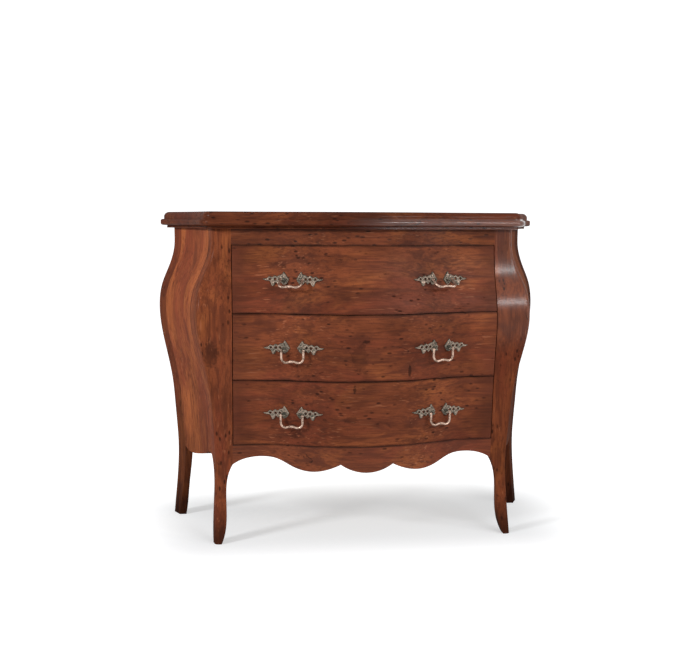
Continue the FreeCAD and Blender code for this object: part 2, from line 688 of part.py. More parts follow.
class Pull:
    """Frame of one pull: the bail axis in front of the drawer front, level and along its surface."""

    def __init__(self, side, level):
        self.side = side
        self.pose = bail_poses[level]
        self.z = frame_z(level) + drawer_pitch / 2 - handle_drop
        self.point, self.normal, self.along = surface_frame(side * handle_x, self.z)
        self.pivot = self.point + self.normal * eye_out
        self.outwards = V(0, 0, 1).cross(self.along)
        if self.outwards.y > 0:
            self.outwards = self.outwards * -1

    def eyes(self):
        """Centres of the two eyes, left one first."""
        return [self.pivot + self.along * (end * post_spacing / 2) for end in (-1, 1)]

    def behind(self, eye, depth):
        """Point straight behind an eye on the front form moved back by a depth."""
        near, beyond = 0.0, 3 * (eye_out + front_thick)
        for _ in range(40):
            middle = (near + beyond) / 2
            point = eye - self.normal * middle
            if point.y < face_y(point.x, point.z) + depth:
                near = middle
            else:
                beyond = middle
        return point

    def eye_post(self, eye):
        face = self.behind(eye, -plate_thick - seat_gap) + self.normal * (pad_rise + seat_gap)
        end = self.behind(eye, front_thick) - self.normal * (nut_seat + nut_thick + shank_past_nut)
        shape = rod(shank_radius, end, face)
        shape = shape.fuse(rod(collar_radius, face, face + self.normal * collar_thick))
        shape = shape.fuse(rod(neck_radius, face, eye))
        shape = shape.fuse(Part.makeSphere(eye_radius, eye)).removeSplitter()
        reach = self.along * (2 * eye_radius)
        return single(shape.cut(rod(pin_radius + pin_gap, eye - reach, eye + reach)))

    def nut_block(self, eye, room):
        """Square block where a nut sits behind the front, with some room round it."""
        start = self.behind(eye, front_thick) - self.normal * (nut_seat - room / 3)
        half = nut_side / 2 + room
        across = self.normal.cross(self.along)
        corners = [start + self.along * a * half + across * b * half
                   for a, b in ((-1, -1), (1, -1), (1, 1), (-1, 1))]
        return polygon_prism(corners, self.normal * -(nut_thick + room))

    def nut(self, eye):
        hole = rod(shank_radius, eye, eye - self.normal * 3 * (eye_out + front_thick))
        return single(self.nut_block(eye, 0).cut(hole))

    def shank_hole(self, eye):
        return rod(shank_radius + shank_gap, eye, eye - self.normal * 3 * (eye_out + front_thick))

    def backplate(self, end):
        """One pierced casting, cut from the layer on the drawer front that it fits."""
        lean = self.along.x
        rise = abs(self.normal.y) / math.hypot(self.normal.x, self.normal.y)
        place = lambda u, w: xz(self.point.x + end * u * lean, self.z + w * rise)
        outline = smooth([place(u, w) for u, w in plate_outline], closed=True).toShape()
        shape = Part.Face(Part.Wire([outline])).extrude(V(0, far, 0))
        for u, w, radius in plate_holes:
            shape = shape.cut(Part.makeCylinder(radius, far, place(u, w), V(0, 1, 0)))
        shape = shape.common(front_layer(-plate_thick - seat_gap, plate_thick))
        eye = self.eyes()[0 if end < 0 else 1]
        seat = self.behind(eye, -plate_thick - seat_gap)
        pad = rod(collar_radius + pad_margin, seat - self.normal * plate_thick / 2, seat + self.normal * pad_rise)
        return single(shape.fuse(pad).cut(self.shank_hole(eye)))

    def clear_angle(self):
        """Angle from hanging straight down at which the rod clears the drawer front, in degrees."""
        for angle in range(0, 90):
            lean = math.radians(angle)
            tip = self.pivot + self.outwards * (bail_drop * math.sin(lean)) - V(0, 0, bail_drop * math.cos(lean))
            if face_y(self.point.x, tip.z) - tip.y > bail_rod + bail_rest_gap:
                return angle
        return 90

    def rest_angle(self):
        """Angle at which the bail is left, in degrees from hanging straight down."""
        return max(self.pose, self.clear_angle())

    def bail(self):
        """The bail in its own frame (X along the bar, Z up), turned to its rest pose."""
        lean = math.radians(90 + bail_bar_rise)
        corner_x, corner_z = bail_half - bail_corner, -bail_drop + bail_corner
        middle_turn = V(corner_x + bail_corner * math.cos(lean / 2), 0, corner_z - bail_corner * math.sin(lean / 2))
        corner_end = V(corner_x + bail_corner * math.cos(lean), 0, corner_z - bail_corner * math.sin(lean))
        bar_radius = corner_end.x / math.sin(math.radians(bail_bar_rise))
        bar_middle = V(0, 0, corner_end.z + bar_radius * (1 - math.cos(math.radians(bail_bar_rise))))
        flip = lambda p: V(-p.x, p.y, p.z)
        top, arm_end = V(bail_half, 0, 0), V(bail_half, 0, corner_z)
        edges = [Part.makeLine(top, arm_end), Part.Arc(arm_end, middle_turn, corner_end).toShape(),
                 Part.Arc(corner_end, bar_middle, flip(corner_end)).toShape(),
                 Part.Arc(flip(corner_end), flip(middle_turn), flip(arm_end)).toShape(),
                 Part.makeLine(flip(arm_end), flip(top))]
        ring = Part.Wire([Part.makeCircle(bail_rod, top, V(0, 0, 1))])
        shape = Part.Wire(edges).makePipeShell([ring], True, False)
        pin_end = post_spacing / 2 - eye_radius
        for end in (-1, 1):
            shape = shape.fuse(ball(bail_boss, V(end * bail_half, 0, 0)))
            shape = shape.fuse(rod(pin_radius, V(end * pin_end, 0, 0), V(end * bail_half, 0, 0)))
        for step, radius in ((-1, knop_radius - 0.7), (0, knop_radius), (1, knop_radius - 0.7)):
            shape = shape.fuse(ball(radius, bar_middle + V(step * bead_spacing, 0, 0)))
        shape = single(shape.removeSplitter())
        turn = math.degrees(math.atan2(self.along.y, self.along.x))
        shape.rotate(V(0, 0, 0), V(1, 0, 0), -self.rest_angle())
        shape.rotate(V(0, 0, 0), V(0, 0, 1), turn)
        shape.translate(self.pivot)
        return shape


# ---------------------------------------------------------------- drawers
def drawer(level):
    """All pieces of one drawer with its pulls, by node name."""
    name = drawer_names[level]
    z0, z1 = frame_z(level), frame_z(level + 1)
    half = opening_half - drawer_gap - box_side_gap
    under = z0 + frame_thick / 2 + box_under_gap
    over = z1 - frame_thick / 2 - box_over_gap
    end_y = back_rail_front - stop_gap
    bottom_z = under + box_bottom_up
    front = front_layer(0, front_thick).common(
        block(-opening_half + drawer_gap, opening_half - drawer_gap, -far, far,
              z0 + drawer_gap / 2, z1 - drawer_gap / 2))
    sides = {}
    bottom = block(-half + box_wall - groove_depth, half - box_wall + groove_depth, -far, end_y,
                   bottom_z, bottom_z + box_bottom_thick)
    bottom = single(bottom.common(behind_front(front_thick - groove_depth)))
    for side in (-1, 1):
        wall = mirrored_block(side, half - box_wall, half, -far, end_y, under, over)
        wall = wall.common(behind_front(front_thick - front_lap))
        sides[side] = single(wall.cut(bottom))
        front = front.cut(sides[side])
    front = front.cut(bottom)
    back = block(-half + box_wall, half - box_wall, end_y - box_wall, end_y, bottom_z + box_bottom_thick, over)
    pulls = [Pull(side, level) for side in (-1, 1)]
    for pull in pulls:
        for eye in pull.eyes():
            front = front.cut(pull.shank_hole(eye)).cut(pull.nut_block(eye, nut_room))
    pieces = {
        name + "_front": [single(front)],
        name + "_side_left": [sides[-1]],
        name + "_side_right": [sides[1]],
        name + "_back": [back],
        name + "_bottom": [bottom],
        name + "_backplates": [pull.backplate(end) for pull in pulls for end in (-1, 1)],
        name + "_eye_posts": [pull.eye_post(eye) for pull in pulls for eye in pull.eyes()],
        name + "_nuts": [pull.nut(eye) for pull in pulls for eye in pull.eyes()],
        name + "_bail_left": [pulls[0].bail()],
        name + "_bail_right": [pulls[1].bail()],
    }
    for pull in pulls:
        where = pull.pivot - V(0, middle_y, 0)
        print("%s bail %+d: pivot %.3f %.3f %.3f axis %.5f %.5f rest %d clear %d"
              % (name, pull.side, where.x, where.y, where.z, pull.along.x, pull.along.y,
                 pull.rest_angle(), pull.clear_angle()))
    return pieces


def build():
    os.makedirs("parts", exist_ok=True)
    levels = range(len(drawer_names))
    frames = range(len(drawer_names) + 1)
    moulding = top_moulding()
    blocks = corner_blocks()
    screws = top_screws(blocks)
    board = top_panel()
    for screw in screws:
        board = board.cut(screw)
    nodes = {
        "top_panel": [single(board)],
        "top_moulding_front": [moulding[0]],
        "top_moulding_left": [moulding[1]],
        "top_moulding_right": [moulding[2]],
        "front_leg_left": [front_leg(-1)],
        "front_leg_right": [front_leg(1)],
        "rear_leg_left": [rear_leg(-1)],
        "rear_leg_right": [rear_leg(1)],
        "side_panel_left": [side_panel(-1)],
        "side_panel_right": [side_panel(1)],
        "back_panel": [back_panel()],
        "top_rail": [top_rail()],
        "front_apron": [front_apron()],
        "bottom_rail": [frame_rail(0)],
        "lower_divider_rail": [frame_rail(1)],
        "upper_divider_rail": [frame_rail(2)],
        "kicker_rail": [frame_rail(3)],
        "runners_left": [runner(-1, level) for level in levels],
        "runners_right": [runner(1, level) for level in levels],
        "guides_left": [guide(-1, level) for level in levels],
        "guides_right": [guide(1, level) for level in levels],
        "kickers": [runner(side, len(drawer_names)) for side in (-1, 1)],
        "back_rails": [back_rail(level) for level in frames],
        "dust_panels": [dust_panel(level) for level in levels],
        "drawer_stops": [drawer_stop(side, level) for level in levels for side in (-1, 1)],
        "corner_blocks": [single(piece.cut(screw)) for piece, screw in zip(blocks, screws)],
        "top_screws": screws,
    }
    for level in levels:
        nodes.update(drawer(level))
    for name, solids in nodes.items():
        export(name, *solids)
    print("height %.1f, middle_y %.2f, nodes %d" % (height, middle_y, len(nodes)))


build()
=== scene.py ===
"""Bombe chest of drawers: finishes, cast pulls and a plain studio round the solid model."""

import json
import math

import bmesh
import bpy
from bpy.props import FloatProperty, FloatVectorProperty, PointerProperty
from mathutils import Matrix, Vector
from mathutils.kdtree import KDTree


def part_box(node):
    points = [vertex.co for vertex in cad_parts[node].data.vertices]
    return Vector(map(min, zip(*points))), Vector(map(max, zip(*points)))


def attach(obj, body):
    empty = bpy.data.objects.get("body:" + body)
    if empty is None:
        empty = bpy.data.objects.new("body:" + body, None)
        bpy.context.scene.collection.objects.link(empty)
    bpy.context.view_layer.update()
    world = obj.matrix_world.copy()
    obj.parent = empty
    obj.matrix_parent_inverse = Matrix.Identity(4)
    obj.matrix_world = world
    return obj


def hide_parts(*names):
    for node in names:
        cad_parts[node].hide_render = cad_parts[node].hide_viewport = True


bl_info = {
    "name": "Bombe chest",
    "version": (1, 0, 0),
    "blender": (4, 5, 0),
    "location": "3D View > Sidebar > Chest",
    "description": "Finishes, pulls and studio for a bombe chest of drawers",
    "category": "Object",
}

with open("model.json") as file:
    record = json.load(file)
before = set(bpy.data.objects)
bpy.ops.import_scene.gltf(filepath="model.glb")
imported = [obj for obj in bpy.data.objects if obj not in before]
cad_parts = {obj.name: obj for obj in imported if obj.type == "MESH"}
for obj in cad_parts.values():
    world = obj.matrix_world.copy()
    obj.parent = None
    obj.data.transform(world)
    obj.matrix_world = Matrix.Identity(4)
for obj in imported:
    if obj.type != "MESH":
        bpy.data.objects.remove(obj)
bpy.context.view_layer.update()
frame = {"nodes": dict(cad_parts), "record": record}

# What the pieces of polished wood have in common; polished_wood says what the values mean.
DRAWER_FINISH = {"along": "X", "orange": 0.52, "mottle": 0.42, "shine": 0.45, "rough": 0.12}
RAIL_FINISH = {"along": "X", "shine": 0.60}
# lift makes the sides lighter upwards: painted light.
SIDE_FINISH = {"along": "Z", "orange": 0.95, "mottle": 0.36, "stripe": 0.45, "marked": 0.55, "lift": 1.05,
               "polish": 0.04}

# How each of them differs from the others.
DRAWER_LOOKS = {
    "bottom_drawer": {"seed": 3.1, "tone": 1.02, "ends": 0.340,
                      "scars": ((-0.037, 0.410, 0.0042, 0.013, 0.85),
                                (-0.045, 0.329, 0.019, 0.010, 0.50))},
    "middle_drawer": {"seed": 5.8, "tone": 1.08, "ends": 0.348,
                      "scars": ((-0.011, 0.5365, 0.011, 0.006, 1.0),
                                (0.1065, 0.457, 0.0052, 0.017, 0.95),
                                (-0.026, 0.494, 0.024, 0.040, 0.50))},
    # slope makes the top drawer lighter to the right: painted light.
    "top_drawer": {"seed": 8.5, "tone": 1.02, "ends": 0.348, "slope": 0.36},
}
# rear_leg_left is set lighter and lighter upwards, and rear_leg_right much darker: painted light on the left
# side and painted shade on the right.
LEG_LOOKS = {
    "front_leg_left": {"seed": 21.0, "tone": 1.12, "orange": 0.45, "mottle": 0.40, "polish": 0.05,
                       "scars": ((-0.402, 0.500, 0.022, 0.038, 0.50),)},
    "front_leg_right": {"seed": 24.3, "tone": 0.95, "orange": 0.35, "mottle": 0.30, "polish": 0.03,
                        "wax": {"comes": (0.33, 0.36), "goes": (0.445, 0.480), "heights": (0.48, 0.60),
                                "weight": 0.42}},
    "rear_leg_left": {"seed": 27.6, "tone": 1.00, "orange": 0.80, "lift": 1.3, "polish": 0.04},
    "rear_leg_right": {"seed": 30.9, "tone": 0.45, "orange": 0.10, "polish": 0.03},
}
# side_panel_left is set lighter and side_panel_right darker: painted light on the left side and painted
# shade on the right.
SIDE_LOOKS = {
    "side_panel_left": {"seed": 37.0, "tone": 1.42},
    "side_panel_right": {"seed": 42.1, "tone": 0.70},
}
TOP_RAIL_LOOK = {"seed": 11.3, "tone": 0.88, "orange": 0.35, "mottle": 0.40}
APRON_LOOK = {"seed": 14.9, "tone": 1.00, "orange": 0.50, "mottle": 0.20}
TOP_LOOK = {"along": "X", "seed": 51.7, "tone": 0.70, "orange": 0.0, "polish": 0.10,
            "wax": {"comes": (-0.10, 0.10), "goes": (0.480, 0.502), "heights": (0.8495, 0.8455),
                    "weight": 1.0}}
TOP_SIDE_LOOK = {"along": "Y", "seed": 57.1, "tone": 0.66, "orange": 0.0, "polish": 0.08}
RAIL_TUCK = 0.007           # how far the moulding laps over the top rail, and so where the painted shade line under it lies

INNER_ALONG_X = ("back_panel", "bottom_rail", "lower_divider_rail", "upper_divider_rail", "kicker_rail",
                 "back_rails", "dust_panels", "corner_blocks")
INNER_ALONG_Y = ("runners_left", "runners_right", "guides_left", "guides_right", "kickers", "drawer_stops")


# ---------------------------------------------------------------- settings
def colour(name, description, default):
    return FloatVectorProperty(name=name, description=description, default=default, size=3,
                               subtype="COLOR", min=0.0, max=1.0)


def length(name, description, default):
    return FloatProperty(name=name, description=description, default=default, unit="LENGTH", min=0.0)


def share(name, description, default):
    return FloatProperty(name=name, description=description, default=default, subtype="FACTOR",
                         min=0.0, max=1.0)


def power(name, description, default):
    return FloatProperty(name=name, description=description, default=default, unit="POWER", min=0.0)


class ChestWood(bpy.types.PropertyGroup):
    """Colours and sizes of the polished wood."""
    body: colour("Body", "Middle tone of the polished wood", (0.158, 0.042, 0.0170))
    light: colour("Light figure", "Orange patches of the figure", (0.222, 0.064, 0.0220))
    red: colour("Red figure", "Red patches of the figure", (0.136, 0.031, 0.0150))
    dark: colour("Dark figure", "Dark bands of the grain", (0.076, 0.021, 0.0110))
    # The dark stain colour is real stain in the pits, and painted shade along the joints and towards the
    # floor.
    stain_and_shade: colour("Stain", "Dark stain in pits and joints", (0.014, 0.005, 0.0035))
    # The rubbed colour is wear along scratches and in rubbed places, and also a painted sheen where the
    # scratches catch the light.
    rubbed_and_sheen: colour("Rubbed", "Scratches and rubbed places", (0.300, 0.105, 0.0500))
    grain_pitch: length("Grain pitch", "Distance between strands of the grain", 0.0042)
    patch: length("Patch", "Length over which the figure changes", 0.085)
    pits: share("Pits", "How many dark pits the surface carries", 0.5)
    gloss: share("Roughness", "Roughness of the lacquer", 0.32)
    shine: share("Shine", "Strength of the lacquer's mirror light", 0.18)
    coat_gloss: share("Coat roughness", "Roughness of the wax", 0.20)


class ChestInner(bpy.types.PropertyGroup):
    """Colours of the unpolished wood inside."""
    body: colour("Body", "Middle tone of the plain wood", (0.50, 0.33, 0.17))
    dark: colour("Dark figure", "Late wood of the plain boards", (0.34, 0.20, 0.09))
    ring_pitch: length("Ring pitch", "Distance between rings", 0.011)


class ChestMetal(bpy.types.PropertyGroup):
    """Colours of the pulls."""
    # The rubbed ridges are wear on the raised metal and also a painted highlight on the rims.
    rubbed_and_sheen: colour("Rubbed ridges", "Ridges of the backplates", (0.240, 0.175, 0.136))
    pewter: colour("Pewter", "Plain metal of the backplates", (0.150, 0.130, 0.102))
    tarnish: colour("Tarnish", "Hollows of the backplates", (0.045, 0.045, 0.034))
    bail: colour("Bail", "Rubbed metal of the bails", (0.52, 0.36, 0.28))
    bail_dark: colour("Bail hollows", "Darkened metal in the turnings", (0.10, 0.06, 0.04))
    steel: colour("Steel", "Nuts and screws", (0.42, 0.42, 0.43))


class ChestStage(bpy.types.PropertyGroup):
    """Floor, lamps and camera."""
    floor: colour("Floor", "Colour of the floor and backdrop", (1.0, 1.0, 1.0))
    shade: share("Floor shade", "How strongly the floor shows shadows", 0.60)
    # The floor's glow drops to this under the chest: a painted shade zone.
    glow: share("Floor glow", "Light of the floor's own colour under the chest", 0.43)
    key: power("Key lamp", "Power of the lamp on the left", 66.0)
    fill: power("Fill lamp", "Power of the wide lamp on the right of the camera", 34.0)
    rim: power("Right lamp", "Power of the strip lamp on the right", 14.0)
    sky: share("Ambient", "Even light from all round", 0.30)
    lens: FloatProperty(name="Lens", description="Focal length of the camera", default=52.56,
                        unit="CAMERA", min=10.0)


# ---------------------------------------------------------------- shader maths
class Socket:
    """A shader value; expressions on it add their maths nodes."""

    def __init__(self, tree, link):
        self.tree = tree
        self.link = link

    def node(self, kind, settings=(), **inputs):
        """Adds a node; settings are set first, then its sockets from values or other sockets.

        An input is named by its socket, with _ for a space, or by i and its number."""
        made = self.tree.nodes.new(kind)
        for name, value in dict(settings).items():
            setattr(made, name, value)
        for name, value in inputs.items():
            key = int(name[1:]) if name[0] == "i" and name[1:].isdigit() else name.replace("_", " ")
            fill(made.inputs[key], value)
        return made

    def out(self, made, output=0):
        return Socket(self.tree, made.outputs[output])

    def maths(self, operation, *values):
        inputs = {"i%d" % index: value for index, value in enumerate(values)}
        return self.out(self.node("ShaderNodeMath", {"operation": operation}, **inputs))

    def __add__(self, other):
        return self.maths("ADD", self, other)

    def __sub__(self, other):
        return self.maths("SUBTRACT", self, other)

    def __rsub__(self, other):
        return self.maths("SUBTRACT", other, self)

    def __mul__(self, other):
        return self.maths("MULTIPLY", self, other)

    def __truediv__(self, other):
        return self.maths("DIVIDE", self, other)

    def __pow__(self, other):
        return self.maths("POWER", self, other)

    def __abs__(self):
        return self.maths("ABSOLUTE", self)

    def most(self, other):
        return self.maths("MAXIMUM", self, other)

    def clear(self, low, high):
        """0 at low and 1 at high, smooth between."""
        made = self.node("ShaderNodeMapRange", {"interpolation_type": "SMOOTHSTEP", "clamp": True},
                         Value=self, From_Min=low, From_Max=high)
        return self.out(made)

    def scaled(self, vector):
        return self.out(self.node("ShaderNodeVectorMath", {"operation": "MULTIPLY"}, i0=self, i1=vector))

    def moved(self, vector):
        return self.out(self.node("ShaderNodeVectorMath", {"operation": "ADD"}, i0=self, i1=vector))

    def noise(self, scale, detail=3.0, roughness=0.55, distortion=0.0):
        made = self.node("ShaderNodeTexNoise", {"noise_dimensions": "3D"}, Vector=self, Scale=scale,
                         Detail=detail, Roughness=roughness, Distortion=distortion)
        return self.out(made)

    def cells(self, scale):
        """Distance from the middle of the nearest cell."""
        made = self.node("ShaderNodeTexVoronoi", {"voronoi_dimensions": "3D", "feature": "F1"},
                         Vector=self, Scale=scale)
        return self.out(made, "Distance")

    def axis(self, name):
        return self.out(self.node("ShaderNodeSeparateXYZ", Vector=self), name)

    def mix(self, first, second):
        """Colour between first and second, self being the factor."""
        made = self.node("ShaderNodeMix", {"data_type": "RGBA"}, i0=self, i6=first, i7=second)
        return self.out(made, 2)


def fill(socket, value):
    """Links a socket to a value of the tree, or sets it."""
    if isinstance(value, Socket):
        value.tree.links.new(value.link, socket)
    elif socket.type == "RGBA":
        socket.default_value = (*value, 1.0)
    else:
        socket.default_value = value


def feed(shader, **sockets):
    for name, value in sockets.items():
        fill(shader.inputs[name.replace("_", " ")], value)


def empty_tree(owner):
    """Clears the node tree of a material or world and gives a start for its nodes."""
    owner.use_nodes = True
    owner.node_tree.nodes.clear()
    return Socket(owner.node_tree, None)


def new_material(name):
    """A material with its shader node and a socket of places on the object."""
    material = bpy.data.materials.new(name)
    start = empty_tree(material)
    shader = start.node("ShaderNodeBsdfPrincipled")
    start.node("ShaderNodeOutputMaterial", Surface=start.out(shader))
    place = start.out(start.node("ShaderNodeTexCoord"), "Object")
    return material, shader, place


def bump(place, height, distance, strength):
    return place.out(place.node("ShaderNodeBump", Height=height, Distance=distance, Strength=strength))


def drawn_out(along, factor):
    """Scale of a space in which a pattern is drawn out along one axis."""
    return tuple(factor if axis == along else 1.0 for axis in "XYZ")


# ---------------------------------------------------------------- polished wood
STRAND_FACTOR = 0.05        # how the strands are drawn out along the grain
FIGURE_FACTOR = 0.42        # and the patches of the figure

# Waves or cells of each pattern in a metre.
PER_METRE = {"pitted": 9.0, "pits": 80.0, "specked": 4.3, "specks": 160.0, "torn": 26.0, "knots": 9.5,
             "rubbed_and_sheen": 6.5, "ragged": 150.0, "joint_shade_patches": 14.0, "level": 2.6, "cloud": 15.0, "swell": 16.0}

# Values between which a pattern goes from 0 to 1; those of cells are counted from their middle.
EDGES = {"pits": (0.12, 0.30), "specks": (0.06, 0.18), "specked": (0.44, 0.58), "knots": (0.03, 0.18),
         "knotted": (0.42, 0.54), "gouges": (0.635, 0.700), "scars": (0.4, 1.1), "scratches": (0.63, 0.72),
         "rubbed_and_sheen": (0.42, 0.58), "joint_shade_patches": (0.34, 0.62), "level": (0.30, 0.70), "cloud": (0.36, 0.60),
         "satin": (0.35, 0.75), "rings": (0.42, 0.66), "late_wood": (0.52, 0.75), "tarnish": (0.44, 0.62)}

# Layers of colour over the base: where a pattern starts to show, where it shows fully, its strength.
LAYERS = {
    "ruddy": (0.48, 0.62, 0.80),
    "band": (0.47, 0.64, 0.74),
    "fine": (0.44, 0.64, 0.62),
    "smear": (0.55, 0.68, 0.74),
}
WARM_START, WARM_WIDTH = 0.60, 0.18     # where the orange patches of the figure show
ORANGE_GAIN = 0.26
PITTED_START, PITTED_FULL = 0.52, 0.58  # where the wood has pits
PITS_GAIN = 0.12
RAGGED_WIDTH = 1.2                      # how far the edges of scars waver, as a share of their size
MARK_STRENGTH = 0.78
RUBBED_AND_SHEEN_STRENGTH = 0.50
# strength of the painted shade along the joints and towards the floor
PAINTED_SHADE_STRENGTH = 0.75
JOINT_SHADE_REACH = (0.0008, 0.0055)           # from a joint, full and gone, of the painted shade along the joints
FOOT_REACH = (0.0, 0.11)                # above the floor, full and gone, of the painted shade at the feet
END_WIDTH = 0.055                       # of the painted shade at the ends
MIDDLE_HEIGHT = 0.55                    # where lift, a painted light, changes nothing
LEVEL_SPREAD = 0.34                     # how much broad fields differ in brightness
CLOUD_MIDDLE = 0.6                      # value of a cloud at which mottle changes nothing
TONE_FACTOR, TONE_SHIFT = 1.30, -0.17   # from tone to brightness


class WoodPatterns:
    """Patterns of one piece of wood, each a value between 0 and 1 at every place."""

    def __init__(self, place, settings, along, seed):
        self.place = place
        self.even = place.moved((seed, seed * 0.7, seed * 1.3))
        self.strands = self.even.scaled(drawn_out(along, STRAND_FACTOR))
        self.figure = self.even.scaled(drawn_out(along, FIGURE_FACTOR))
        self.along = along
        per_patch, per_strand = 1.0 / settings.patch, 1.0 / settings.grain_pitch
        self.warm = self.figure.noise(per_patch * 0.85, detail=5.0, roughness=0.55, distortion=0.7)
        self.ruddy = self.figure.moved((5.0, 3.0, 1.0)).noise(per_patch * 0.6, detail=4.0, roughness=0.6,
                                                              distortion=0.5)
        self.smear = self.figure.moved((2.0, 7.0, 4.0)).noise(per_patch * 1.5, detail=4.0, roughness=0.6,
                                                              distortion=0.4)
        self.band = self.strands.noise(per_strand * 0.24, detail=4.0, roughness=0.6, distortion=1.0)
        self.fine = self.strands.noise(per_strand, detail=4.0, roughness=0.65, distortion=0.3)
        self.scratch = self.strands.moved((0.4, 0.9, 0.2)).noise(per_strand * 0.95, detail=1.0)
        self.swell = self.even.noise(PER_METRE["swell"], detail=2.0)

    def base(self, settings, orange, stripe):
        """Colour of the unmarked wood."""
        low = WARM_START - ORANGE_GAIN * orange
        base = self.warm.clear(low, low + WARM_WIDTH).mix(tuple(settings.body), tuple(settings.light))
        tones = {"ruddy": settings.red, "band": settings.dark, "fine": settings.dark, "smear": settings.dark}
        for name, (starts, full, strength) in LAYERS.items():
            if name == "band":
                strength *= stripe
            base = (getattr(self, name).clear(starts, full) * strength).mix(base, tuple(tones[name]))
        return base

    def marks(self, settings, marked, scars):
        """1 where the wood is dark with pits, specks, gouges, knots or single scars."""
        even, figure = self.even, self.figure
        low = PITTED_START - PITS_GAIN * settings.pits
        pitted = even.noise(PER_METRE["pitted"], detail=2.0).clear(low, PITTED_FULL)
        pits = (1.0 - figure.cells(PER_METRE["pits"]).clear(*EDGES["pits"])) * pitted
        specked = even.noise(PER_METRE["specked"]).clear(*EDGES["specked"]) * 0.75
        specks = (1.0 - even.cells(PER_METRE["specks"]).clear(*EDGES["specks"])) * specked
        torn = even.moved((1.7, 0.3, 2.9)).scaled(drawn_out(self.along, FIGURE_FACTOR))
        torn = torn.noise(PER_METRE["torn"], detail=5.0, roughness=0.75, distortion=1.8)
        knots = 1.0 - figure.moved((0.3, 0.8, 0.5)).cells(PER_METRE["knots"]).clear(*EDGES["knots"])
        knots = knots * torn.clear(*EDGES["knotted"])
        marks = pits.most(specks).most(torn.clear(*EDGES["gouges"])).most(knots * 0.8) * marked
        ragged = self.place.noise(PER_METRE["ragged"], detail=3.0) * (2.0 * RAGGED_WIDTH) - RAGGED_WIDTH
        for x, z, half_width, half_height, strength in scars:
            aside = (self.place.axis("X") - x) / half_width
            above = (self.place.axis("Z") - z) / half_height
            outside = (aside * aside + above * above + ragged).clear(*EDGES["scars"])
            marks = marks.most((1.0 - outside) * strength)
        return marks

    def rubbed_and_sheen(self):
        """1 along scratches and in rubbed places: wear, and also a painted sheen."""
        wear_and_shade = self.even.noise(PER_METRE["rubbed_and_sheen"], detail=2.0).clear(*EDGES["rubbed_and_sheen"])
        return self.scratch.clear(*EDGES["scratches"]) * wear_and_shade

    def dirt_and_shade(self, joints):
        """1 next to the joints: painted shade in the gaps and under the mouldings, made uneven."""
        near = [1.0 - abs(self.place.axis("Z") - joint).clear(*JOINT_SHADE_REACH) for joint in joints]
        dirt_and_shade = near[0]
        for more in near[1:]:
            dirt_and_shade = dirt_and_shade.most(more)
        uneven = self.even.noise(PER_METRE["joint_shade_patches"], detail=3.0).clear(*EDGES["joint_shade_patches"]) * 0.55 + 0.45
        return dirt_and_shade * uneven

    def brightness(self, tone, lift, slope, mottle):
        """Factor on the colour, with painted light: lighter upwards by lift and to the right by slope."""
        level = self.even.noise(PER_METRE["level"], detail=2.0).clear(*EDGES["level"])
        cloud = self.figure.moved((3.0, 1.0, 6.0)).noise(PER_METRE["cloud"], detail=4.0, roughness=0.6,
                                                         distortion=0.6).clear(*EDGES["cloud"])
        up, right = self.place.axis("Z") - MIDDLE_HEIGHT, self.place.axis("X")
        plain = level * LEVEL_SPREAD + up * lift + right * slope + (tone * TONE_FACTOR + TONE_SHIFT)
        return plain + (cloud - CLOUD_MIDDLE) * mottle

    def coat(self, polish, wax):
        """Weight of the wax."""
        if wax is None:
            return polish
        across, up = self.place.axis("X"), self.place.axis("Z")
        shown = across.clear(*wax["comes"]) * (1.0 - across.clear(*wax["goes"])) * up.clear(*wax["heights"])
        return shown * wax["weight"] + polish


